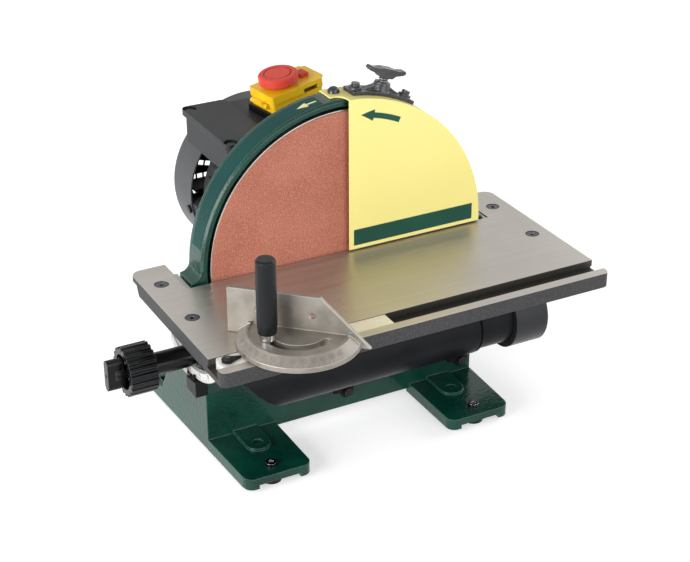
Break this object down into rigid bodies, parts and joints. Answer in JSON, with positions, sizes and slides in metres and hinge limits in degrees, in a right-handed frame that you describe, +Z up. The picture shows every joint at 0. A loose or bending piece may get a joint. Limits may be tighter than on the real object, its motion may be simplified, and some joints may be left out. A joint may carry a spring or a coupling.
{
  "type": "benchtop disc sander",
  "caption": "Benchtop disc sander with a geared tilting table, a sliding mitre gauge, a pressed disc brake, a dust duct with hose collar and a fan cooled motor under a covered switch.",
  "frame": {"origin": "middle of the bounding box at the bottom of the rubber feet, on the bench", "axes": "X runs right along the table, Y runs back from the operator to the motor and Z runs up"},
  "size_m": [0.501, 0.4582, 0.4053],
  "materials": {
    "green_paint": "dark green hammered paint",
    "guard_paint": "pale yellow powder coat",
    "grey_paint": "satin grey paint",
    "motor_black": "satin black paint",
    "ground_iron": "ground top, grey painted sides",
    "disc_alloy": "turned",
    "gauge_alloy": "die cast, brushed top",
    "bright_steel": "bright",
    "zinc_steel": "zinc plated",
    "dark_steel": "black oxide",
    "chrome_steel": "polished",
    "black_plastic": "satin moulded",
    "yellow_plastic": "moulded",
    "red_plastic": "moulded",
    "green_plastic": "moulded",
    "abrasive": "cloth backed grit",
    "copper_winding": "varnished windings and laminations",
    "friction_pad": "brake lining",
    "foot_rubber": "matt",
    "scale_sheet": "satin scale strip"
  },
  "bodies": {
    "stand": {"base_casting": "green_paint", "disc_housing": "green_paint", "rubber_feet": "foot_rubber", "foot_bolts": "dark_steel", "dust_duct": "black_plastic", "outlet_tube": "black_plastic", "outlet_collar": "black_plastic", "duct_screws": "dark_steel", "motor_body": "motor_black", "front_bell": "motor_black", "rear_bell": "motor_black", "stator": "copper_winding", "front_bearing": "bright_steel", "rear_bearing": "bright_steel", "fan_cowl": "grey_paint", "cowl_screws": "dark_steel", "flange_bolts": "dark_steel", "terminal_box": "grey_paint", "terminal_lid": "grey_paint", "lid_screws": "dark_steel", "cable_gland": "black_plastic", "disc_guard": "guard_paint", "guard_screw": "dark_steel", "brake_bracket": "motor_black", "brake_screws": "dark_steel", "brake_spring": "bright_steel", "guide_bolts": "dark_steel", "pointer_block": "black_plastic", "edge_strap": "zinc_steel", "strap_screw": "dark_steel", "switch_base": "black_plastic", "switch_body": "yellow_plastic"},
    "rotor": {"sanding_disc": "disc_alloy", "abrasive_sheet": "abrasive", "hub_screw": "dark_steel", "motor_shaft": "bright_steel", "rotor_core": "bright_steel", "cooling_fan": "black_plastic"},
    "table": {"table_plate": "ground_iron", "left_trunnion": "bright_steel", "right_trunnion": "bright_steel", "angle_scale": "scale_sheet", "table_screws": "dark_steel"},
    "tilt_drive": {"pinion_sleeve": "dark_steel", "tilt_knob": "black_plastic"},
    "tilt_lock": {"lock_rod": "bright_steel", "lock_bar": "black_plastic"},
    "gauge_bar": {"mitre_bar": "bright_steel", "mitre_pivot": "zinc_steel", "mitre_pointer": "black_plastic"},
    "gauge_head": {"mitre_head": "gauge_alloy"},
    "gauge_handle": {"handle_stud": "chrome_steel", "handle_grip": "black_plastic"},
    "brake": {"brake_plunger": "black_plastic", "brake_pad": "friction_pad"},
    "cover": {"switch_cover": "yellow_plastic"},
    "mushroom": {"stop_mushroom": "red_plastic"},
    "latch": {"cover_latch": "red_plastic"},
    "start": {"start_button": "green_plastic"},
    "stop": {"stop_button": "red_plastic"}
  },
  "joints": [
    {"name": "disc_spin", "type": "hinge", "parent": "stand", "child": "rotor", "pos_m": [0.0225, -0.01285, 0.2147], "axis": [0, 1, 0], "continuous": true},
    {"name": "table_tilt", "type": "hinge", "parent": "stand", "child": "table", "pos_m": [0.0225, -0.01285, 0.208], "axis": [1, 0, 0], "range_deg": [0, 45]},
    {"name": "tilt_turn", "type": "hinge", "parent": "stand", "child": "tilt_drive", "pos_m": [-0.1775, -0.01285, 0.1285], "axis": [1, 0, 0], "range_deg": [0, 445]},
    {"name": "lock_turn", "type": "hinge", "parent": "stand", "child": "tilt_lock", "pos_m": [-0.2375, -0.01285, 0.1285], "axis": [1, 0, 0], "range_deg": [0, 120]},
    {"name": "gauge_slide", "type": "slide", "parent": "table", "child": "gauge_bar", "axis": [1, 0, 0], "range_m": [-0.04, 0.2]},
    {"name": "gauge_swivel", "type": "hinge", "parent": "gauge_bar", "child": "gauge_head", "pos_m": [-0.1065, -0.16865, 0.212], "axis": [0, 0, 1], "range_deg": [-105, 12]},
    {"name": "handle_turn", "type": "hinge", "parent": "gauge_bar", "child": "gauge_handle", "pos_m": [-0.14, -0.16865, 0.24], "axis": [0, 0, 1], "range_deg": [0, 180]},
    {"name": "brake_press", "type": "slide", "parent": "stand", "child": "brake", "axis": [-0.3074, 0, -0.9516], "range_m": [0, 0.0045], "stiffness_N_per_m": 900, "deforming": ["brake_spring"]},
    {"name": "cover_lift", "type": "hinge", "parent": "stand", "child": "cover", "pos_m": [-0.00864, 0.11993, 0.33537], "axis": [0.1392, -0.9903, 0], "range_deg": [0, 100]},
    {"name": "mushroom_press", "type": "slide", "parent": "cover", "child": "mushroom", "axis": [0.1378, 0.0194, -0.9903], "range_m": [0, 0.002], "stiffness_N_per_m": 400},
    {"name": "latch_slide", "type": "slide", "parent": "cover", "child": "latch", "axis": [0.9806, 0.1378, 0.1392], "range_m": [0, 0.002], "stiffness_N_per_m": 300},
    {"name": "start_press", "type": "slide", "parent": "stand", "child": "start", "axis": [0.1378, 0.0194, -0.9903], "range_m": [0, 0.002], "stiffness_N_per_m": 300},
    {"name": "stop_press", "type": "slide", "parent": "stand", "child": "stop", "axis": [0.1378, 0.0194, -0.9903], "range_m": [0, 0.002], "stiffness_N_per_m": 300}
  ],
  "couplings": [
    {"joint": "tilt_turn", "follows": "table_tilt", "ratio": 9.8333},
    {"joint": "stop_press", "follows": "mushroom_press", "ratio": 1}
  ]
}
